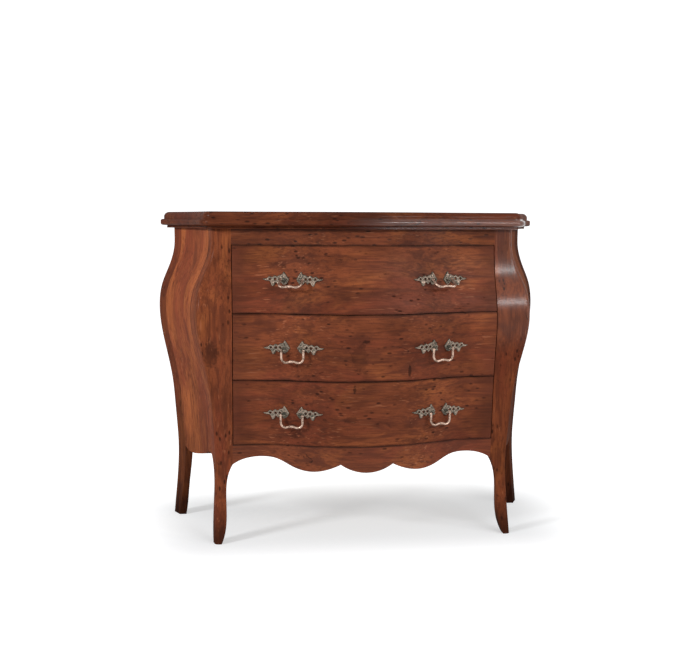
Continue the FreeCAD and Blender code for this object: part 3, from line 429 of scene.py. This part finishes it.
def polished_wood(name, settings, along, seed, tone=1.0, orange=0.5, joints=(), ends=None, lift=0.0,
                  slope=0.0, stripe=1.0, mottle=0.0, marked=1.0, scars=(), shine=0.0, rough=0.0,
                  polish=0.0, wax=None):
    """Red-brown lacquered wood with its grain along an axis, mottled figure, pits and scratches.

    seed picks the stretch of figure, tone its lightness and orange how much of it is orange.
    joints are heights at which two pieces meet, where the wood is darkened with painted shade. ends is how
    far the piece reaches to each side, where its ends are darkened with painted shade. lift is how much
    lighter the wood gets for each metre up, and slope the same for each metre to the right, both painted
    light. stripe is how strongly the long dark bands show, mottle how much light and dark clouds differ, and
    marked how strongly the pits
    show. scars are single dark marks: place along X, height, half width, half height and strength of each.
    shine is the share of the lacquer's mirror light, and rough is added to its roughness. polish is an even
    coat, and wax adds one of a weight between places along X, where it comes and where it goes, and two
    heights, from none to full."""
    material, shader, place = new_material(name)
    wood = WoodPatterns(place, settings, along, seed)
    # dark stain for the pits, and painted shade at the joints and feet
    stain_and_shade = tuple(settings.stain_and_shade)
    marks, rubbed_and_sheen = wood.marks(settings, marked, scars), wood.rubbed_and_sheen()

    base = (marks * MARK_STRENGTH).mix(wood.base(settings, orange, stripe), stain_and_shade)
    # scratches and rubbed places lighten: wear and painted sheen
    base = (rubbed_and_sheen * RUBBED_AND_SHEEN_STRENGTH).mix(base, tuple(settings.rubbed_and_sheen))
    # painted shade along the joints
    if joints:
        base = (wood.dirt_and_shade(joints) * PAINTED_SHADE_STRENGTH).mix(base, stain_and_shade)
    # painted shade, darker towards the floor
    foot = 1.0 - place.axis("Z").clear(*FOOT_REACH)
    base = (foot * PAINTED_SHADE_STRENGTH).mix(base, stain_and_shade)
    # painted shade at both ends of the drawer fronts
    if ends:
        wear_and_shade = abs(place.axis("X")).clear(ends - END_WIDTH, ends) * (wood.smear * 0.6 + 0.28)
        base = wear_and_shade.mix(base, tuple(settings.dark))
    shade = place.node("ShaderNodeHueSaturation", Hue=0.5, Saturation=1.0, Fac=1.0, Color=base,
                       Value=wood.brightness(tone, lift, slope, mottle))

    height = wood.fine * 0.16 + wood.band * 0.10 + wood.swell * 0.9 - marks * 0.9 - rubbed_and_sheen * 0.15
    gloss = wood.fine.clear(*EDGES["satin"]) * 0.10 + marks * 0.25 + wood.swell * 0.10
    feed(shader, Base_Color=place.out(shade), Roughness=gloss + (settings.gloss + rough - 0.07),
         Normal=bump(place, height, 0.0010, 0.55), Specular_IOR_Level=settings.shine * shine,
         Coat_Weight=wood.coat(polish, wax), Coat_Roughness=settings.coat_gloss)
    return material


# ---------------------------------------------------------------- other materials
def plain_wood(name, settings, along, seed):
    """Unpolished pale wood with rings along an axis."""
    material, shader, place = new_material(name)
    strands = place.moved((seed, seed, seed)).scaled(drawn_out(along, STRAND_FACTOR))
    rings = strands.noise(0.6 / settings.ring_pitch, detail=3.0, distortion=1.2)
    fine = strands.noise(5.0 / settings.ring_pitch, detail=3.0)
    base = rings.clear(*EDGES["rings"]).mix(tuple(settings.body), tuple(settings.dark))
    base = (fine.clear(*EDGES["late_wood"]) * 0.4).mix(base, tuple(settings.dark))
    feed(shader, Base_Color=base, Roughness=fine * 0.2 + 0.62, Normal=bump(place, fine, 0.0006, 0.5))
    return material


def cast_metal(name, raised, hollow, rough=0.42):
    """Cast metal, darker and duller in its hollows."""
    grit_per_metre, cloud_per_metre, metallic = 420.0, 75.6, 0.85
    material, shader, place = new_material(name)
    grit = place.noise(grit_per_metre, detail=4.0, roughness=0.6)
    cloud = place.noise(cloud_per_metre, detail=2.0)
    dirt_and_shade = (grit * 0.6 + cloud * 0.4).clear(*EDGES["tarnish"])
    feed(shader, Base_Color=dirt_and_shade.mix(tuple(raised), tuple(hollow)), Metallic=metallic,
         Roughness=dirt_and_shade * 0.25 + rough, Normal=bump(place, grit, 0.0004, 0.6))
    return material


# ---------------------------------------------------------------- backplates
def limited(value):
    return min(max(value, 0.0), 1.0)


class PlateRelief:
    """Leafy relief of a drawer's backplates: lobed rims rolled up round ribbed hollows."""

    grid = 0.00065                  # size of the faces
    edge = 0.0009                   # width over which the outline is rounded off
    edge_drop = 0.0007
    rim_place = 0.0019              # from the outline to the top of the rolled rim
    rim_width = 0.0015
    rim_rise = 0.0020
    lobe_depth = 0.34               # share of the rim that the lobes take
    lobes_along = 1050.0            # radians of the lobes' wave in a metre
    lobes_up = 900.0
    lobe_start = 0.6
    rib_rise = 0.0016
    rib_count = 17.0                # ribs of a full fan
    rib_inset = 0.0018              # from the outline to where the ribs start
    rib_fade = 0.0020
    fan_along = 0.016               # middle of the fan from the middle of the pull
    fan_up = -0.006
    ridge_height = 0.42             # share of the rim's rise above which the metal is rubbed and carries a painted highlight
    wall_facing = 0.35              # how far a side wall may face outwards

    def __init__(self, drawer):
        self.node = drawer + "_backplates"
        self.drawer = drawer
        self.source = frame["nodes"][self.node].data
        joints = {joint["name"]: joint for joint in frame["record"]["behaviour"]["joints"]}
        hinges = [joints["%s_bail_%s_hinge" % (drawer, side)] for side in ("left", "right")]
        self.pulls = [(Vector(hinge["pos_m"]), -Vector(hinge["axis"])) for hinge in hinges]
        self.walls = self.outline_points()

    def place(self, point):
        """Pull, place along the drawer from its middle and place up from its bail axis."""
        pull = 0 if point.x < 0 else 1
        pivot, along = self.pulls[pull]
        return pull, (point - pivot).dot(along), point.z - pivot.z

    def outwards(self, point):
        pull = 0 if point.x < 0 else 1
        return self.pulls[pull][1].cross(Vector((0.0, 0.0, 1.0))).normalized()

    def outline_points(self):
        """Search tree of points along the outlines and holes of the plates."""
        spots = []
        for face in self.source.polygons:
            if abs(face.normal.dot(self.outwards(face.center))) > self.wall_facing:
                continue
            corners = [self.source.vertices[index].co for index in face.vertices]
            for first, second in zip(corners, corners[1:] + corners[:1]):
                steps = max(1, round((second - first).length / self.grid))
                for step in range(steps):
                    pull, along, up = self.place(first.lerp(second, step / steps))
                    spots.append(Vector((along, up, float(pull))))
        tree = KDTree(len(spots))
        for index, spot in enumerate(spots):
            tree.insert(spot, index)
        tree.balance()
        return tree

    def rise(self, point):
        """Height of the relief above the plain plate."""
        pull, along, up = self.place(point)
        inwards = self.walls.find(Vector((along, up, float(pull))))[2]
        roll = math.exp(-((inwards - self.rim_place) / self.rim_width) ** 2)
        wave = math.cos(along * self.lobes_along) * math.cos(up * self.lobes_up + self.lobe_start)
        lobes = 1.0 - self.lobe_depth + self.lobe_depth * wave
        fan = math.atan2(up - self.fan_up, abs(along) - self.fan_along)
        inside = limited((inwards - self.rib_inset) / self.rib_fade)
        ribs = (0.5 + 0.5 * math.cos(self.rib_count * fan)) * inside
        rounding = min(inwards / self.edge - 1.0, 0.0) * self.edge_drop
        return self.rim_rise * roll * lobes + self.rib_rise * ribs + rounding

    def fine_mesh(self, name):
        """The plates with even, small faces."""
        piece = bpy.data.objects.new(name, self.source.copy())
        bpy.context.scene.collection.objects.link(piece)
        modifier = piece.modifiers.new("grid", "REMESH")
        modifier.mode = "VOXEL"
        modifier.voxel_size = self.grid
        finished = bpy.data.meshes.new_from_object(
            piece.evaluated_get(bpy.context.evaluated_depsgraph_get()))
        piece.modifiers.clear()
        piece.data = finished
        finished.name = name
        return piece

    def build(self, raised, hollow):
        """The piece, with one material on its ridges and one in its hollows."""
        piece = self.fine_mesh(self.drawer + "_plate_relief")
        mesh = piece.data
        heights = []
        moves = []
        for vertex in mesh.vertices:
            outwards = self.outwards(vertex.co)
            height = self.rise(vertex.co) * limited((vertex.normal.dot(outwards) - 0.15) / 0.5)
            heights.append(height)
            moves.append(outwards * height)
        for vertex, move in zip(mesh.vertices, moves):
            vertex.co += move
        mesh.materials.clear()
        mesh.materials.append(raised)
        mesh.materials.append(hollow)
        for face in mesh.polygons:
            face.use_smooth = True
            middle = sum(heights[index] for index in face.vertices) / len(face.vertices)
            face.material_index = 0 if middle > self.ridge_height * self.rim_rise else 1
        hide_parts(self.node)
        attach(piece, self.drawer)
        return piece


def dress(material, *nodes):
    """Gives a material to solids of the model."""
    for node in nodes:
        mesh = frame["nodes"][node].data
        mesh.materials.clear()
        mesh.materials.append(material)


# ---------------------------------------------------------------- operators
class CHEST_OT_drawer_fronts(bpy.types.Operator):
    """Finish the serpentine drawer fronts"""
    bl_idname = "chest.drawer_fronts"
    bl_label = "Drawer fronts"

    def execute(self, context):
        wood = context.scene.chest_wood
        for drawer, look in DRAWER_LOOKS.items():
            low, high = (corner[2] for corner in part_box(drawer + "_front"))
            dress(polished_wood("wood_" + drawer, wood, joints=(low, high), **DRAWER_FINISH, **look),
                  drawer + "_front")
        return {"FINISHED"}


class CHEST_OT_front_rails(bpy.types.Operator):
    """Finish the top rail and the scalloped apron"""
    bl_idname = "chest.front_rails"
    bl_label = "Top rail and apron"

    def execute(self, context):
        wood = context.scene.chest_wood
        rail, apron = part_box("top_rail"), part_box("front_apron")
        # the upper joint lies just under the moulding: the painted shade line under the nose
        dress(polished_wood("wood_top_rail", wood, joints=(rail[0][2], rail[1][2] - RAIL_TUCK),
                            **RAIL_FINISH, **TOP_RAIL_LOOK), "top_rail")
        dress(polished_wood("wood_apron", wood, joints=(apron[1][2],), **RAIL_FINISH, **APRON_LOOK),
              "front_apron")
        return {"FINISHED"}


class CHEST_OT_legs(bpy.types.Operator):
    """Finish the corner posts and the legs"""
    bl_idname = "chest.legs"
    bl_label = "Posts and legs"

    def execute(self, context):
        wood = context.scene.chest_wood
        for node, look in LEG_LOOKS.items():
            dress(polished_wood("wood_" + node, wood, along="Z", **look), node)
        return {"FINISHED"}


class CHEST_OT_sides(bpy.types.Operator):
    """Finish the swelling side panels"""
    bl_idname = "chest.sides"
    bl_label = "Side panels"

    def execute(self, context):
        wood = context.scene.chest_wood
        for node, look in SIDE_LOOKS.items():
            dress(polished_wood("wood_" + node, wood, **SIDE_FINISH, **look), node)
        return {"FINISHED"}


class CHEST_OT_top(bpy.types.Operator):
    """Finish the moulded top"""
    bl_idname = "chest.top"
    bl_label = "Top"

    def execute(self, context):
        wood = context.scene.chest_wood
        dress(polished_wood("wood_top", wood, **TOP_LOOK), "top_panel", "top_moulding_front")
        dress(polished_wood("wood_top_sides", wood, **TOP_SIDE_LOOK),
              "top_moulding_left", "top_moulding_right")
        return {"FINISHED"}


class CHEST_OT_inside(bpy.types.Operator):
    """Finish the plain wood of the frames and drawer boxes"""
    bl_idname = "chest.inside"
    bl_label = "Inside"

    def execute(self, context):
        inner = context.scene.chest_inner
        boards = [drawer + part for drawer in DRAWER_LOOKS for part in ("_back", "_bottom")]
        walls = [drawer + part for drawer in DRAWER_LOOKS for part in ("_side_left", "_side_right")]
        dress(plain_wood("plain_wood_across", inner, "X", 1.0), *INNER_ALONG_X, *boards)
        dress(plain_wood("plain_wood_deep", inner, "Y", 4.0), *INNER_ALONG_Y, *walls)
        return {"FINISHED"}


class CHEST_OT_pulls(bpy.types.Operator):
    """Finish the backplates, posts, bails, nuts and screws"""
    bl_idname = "chest.pulls"
    bl_label = "Pulls"

    def execute(self, context):
        metal = context.scene.chest_metal
        plate = cast_metal("pewter_cast", metal.pewter, metal.tarnish)
        bail = cast_metal("bail_metal", metal.bail, metal.bail_dark, rough=0.36)
        steel = cast_metal("steel_plain", metal.steel, metal.steel, rough=0.40)
        # the ridges' lighter metal: wear and a painted highlight
        rubbed_and_sheen = cast_metal("pewter_ridges", metal.rubbed_and_sheen, metal.pewter, rough=0.38)
        for drawer in DRAWER_LOOKS:
            PlateRelief(drawer).build(rubbed_and_sheen, plate)
            dress(plate, drawer + "_eye_posts")
            dress(bail, drawer + "_bail_left", drawer + "_bail_right")
            dress(steel, drawer + "_nuts")
        dress(steel, "top_screws")
        return {"FINISHED"}


class CHEST_OT_studio(bpy.types.Operator):
    """Set up the floor, the lamps and the camera"""
    bl_idname = "chest.studio"
    bl_label = "Studio"

    floor_half_width, floor_front, floor_back, backdrop_height = 14.0, -12.0, 9.0, 8.0
    backdrop_radius, backdrop_steps = 3.0, 24
    shadow_tint = (0.970, 0.995, 1.020)     # of the shaded floor
    shadow_half_width = 0.40                # of the painted shade zone under the chest, where the floor glows less
    shadow_half_depth = 0.13
    shadow_middle = 0.04                    # its middle along Y
    shadow_fade = 0.40                      # width over which it fades
    camera_place = (-0.4035, -2.7385, 0.845)
    camera_turn, camera_dip, camera_roll = 7.85, 6.45, -0.269      # degrees
    sensor_width = 36.0

    def execute(self, context):
        settings = context.scene.chest_stage
        self.make_floor(settings)
        self.make_world(settings)
        self.make_lamp("key_lamp", settings.key, place=(-3.0, -1.5, 1.80), target=(0.0, 0.0, 0.45),
                       width=0.6, tall=0.6)
        self.make_lamp("fill_lamp", settings.fill, place=(1.60, -2.40, 1.85), target=(0.25, -0.1, 0.60),
                       width=1.7, tall=0.25)
        self.make_lamp("right_strip", settings.rim, place=(2.5, -1.3, 1.2), target=(0.3, 0.0, 0.55),
                       width=0.5, tall=1.8)
        self.make_camera(settings)
        context.scene.view_settings.view_transform = "Standard"
        return {"FINISHED"}

    @staticmethod
    def seen(start):
        """1 for rays that come straight from the camera, from a mirror or through glass."""
        rays = start.node("ShaderNodeLightPath")
        seen = start.out(rays, "Is Camera Ray").most(start.out(rays, "Is Glossy Ray"))
        return seen.most(start.out(rays, "Is Transmission Ray"))

    def make_floor(self, settings):
        """Floor that curves up into a backdrop."""
        mesh = bpy.data.meshes.new("studio_floor")
        outline = bmesh.new()
        bend, radius = self.floor_back - self.backdrop_radius, self.backdrop_radius
        rows = [(self.floor_front, 0.0), (bend, 0.0)]
        for step in range(1, self.backdrop_steps + 1):
            angle = math.pi / 2 * step / self.backdrop_steps
            rows.append((bend + radius * math.sin(angle), radius - radius * math.cos(angle)))
        rows.append((self.floor_back, self.backdrop_height))
        rings = [[outline.verts.new((side * self.floor_half_width, y, z)) for side in (-1, 1)]
                 for y, z in rows]
        for near, distant in zip(rings, rings[1:]):
            outline.faces.new((near[0], near[1], distant[1], distant[0]))
        outline.to_mesh(mesh)
        outline.free()
        for face in mesh.polygons:
            face.use_smooth = True
        floor = bpy.data.objects.new("studio_floor", mesh)
        bpy.context.scene.collection.objects.link(floor)
        mesh.materials.append(self.paper(settings))

    def paper(self, settings):
        """White material that glows by itself, and less in a painted shade zone under the chest, where the
        lamps' shadows show.
        """
        material = bpy.data.materials.new("studio_paper")
        start = empty_tree(material)
        place = start.out(start.node("ShaderNodeTexCoord"), "Object")
        beside = (abs(place.axis("X")) - self.shadow_half_width).most(0.0)
        before = (abs(place.axis("Y") - self.shadow_middle) - self.shadow_half_depth).most(0.0)
        far = ((beside * beside + before * before) ** 0.5).clear(0.0, self.shadow_fade)
        tint = tuple(settings.shade * part for part in self.shadow_tint)
        lit = start.node("ShaderNodeBsdfDiffuse", Color=tint)
        # the glow drops to settings.glow under the chest: painted shade
        strength = self.seen(start) * (far * (1.0 - settings.glow) + settings.glow)
        glow = start.node("ShaderNodeEmission", Color=tuple(settings.floor), Strength=strength)
        both = start.node("ShaderNodeAddShader", i0=start.out(lit), i1=start.out(glow))
        start.node("ShaderNodeOutputMaterial", Surface=start.out(both))
        return material

    def make_world(self, settings):
        """White air that lights less than it shows."""
        world = bpy.data.worlds.new("studio_air")
        start = empty_tree(world)
        air = start.node("ShaderNodeBackground", Color=(1.0, 1.0, 1.0),
                         Strength=self.seen(start) * (1.0 - settings.sky) + settings.sky)
        start.node("ShaderNodeOutputWorld", Surface=start.out(air))
        bpy.context.scene.world = world

    def make_lamp(self, name, watts, place, target, width, tall):
        lamp = bpy.data.lights.new(name, "AREA")
        lamp.shape = "RECTANGLE"
        lamp.size = width
        lamp.size_y = tall
        lamp.energy = watts
        holder = bpy.data.objects.new(name, lamp)
        holder.location = place
        holder.rotation_euler = (Vector(target) - Vector(place)).to_track_quat("-Z", "Y").to_euler()
        bpy.context.scene.collection.objects.link(holder)

    def make_camera(self, settings):
        turn, dip = math.radians(self.camera_turn), math.radians(self.camera_dip)
        roll = math.radians(self.camera_roll)
        forward = Vector((math.sin(turn) * math.cos(dip), math.cos(turn) * math.cos(dip), -math.sin(dip)))
        right = Vector((math.cos(turn), -math.sin(turn), 0.0))
        down = forward.cross(right)
        across = right * math.cos(roll) + down * math.sin(roll)
        below = down * math.cos(roll) - right * math.sin(roll)
        camera = bpy.data.cameras.new("camera")
        camera.lens = settings.lens
        camera.sensor_fit = "HORIZONTAL"
        camera.sensor_width = self.sensor_width
        camera.dof.use_dof = False
        holder = bpy.data.objects.new("camera", camera)
        axes = Matrix((across, -below, -forward)).transposed().to_4x4()
        holder.matrix_world = Matrix.Translation(self.camera_place) @ axes
        bpy.context.scene.collection.objects.link(holder)
        bpy.context.scene.camera = holder


class CHEST_PT_panel(bpy.types.Panel):
    """Lists the chest's steps and settings"""
    bl_idname = "CHEST_PT_panel"
    bl_label = "Bombe chest"
    bl_space_type = "VIEW_3D"
    bl_region_type = "UI"
    bl_category = "Chest"

    def draw(self, context):
        for step in STEPS:
            self.layout.operator(step.bl_idname)
        for name in GROUPS:
            group = getattr(context.scene, name)
            box = self.layout.box()
            for field in group.__annotations__:
                box.prop(group, field)


GROUPS = {"chest_wood": ChestWood, "chest_inner": ChestInner, "chest_metal": ChestMetal,
          "chest_stage": ChestStage}
STEPS = (CHEST_OT_drawer_fronts, CHEST_OT_front_rails, CHEST_OT_legs, CHEST_OT_sides, CHEST_OT_top,
         CHEST_OT_inside, CHEST_OT_pulls, CHEST_OT_studio)


def register():
    for kind in (*GROUPS.values(), *STEPS, CHEST_PT_panel):
        bpy.utils.register_class(kind)
    for name, kind in GROUPS.items():
        setattr(bpy.types.Scene, name, PointerProperty(type=kind))


def unregister():
    for name in GROUPS:
        delattr(bpy.types.Scene, name)
    for kind in reversed((*GROUPS.values(), *STEPS, CHEST_PT_panel)):
        bpy.utils.unregister_class(kind)


def main():
    register()
    for step in STEPS:
        group, name = step.bl_idname.split(".")
        getattr(getattr(bpy.ops, group), name)()


if __name__ == "__main__":
    main()
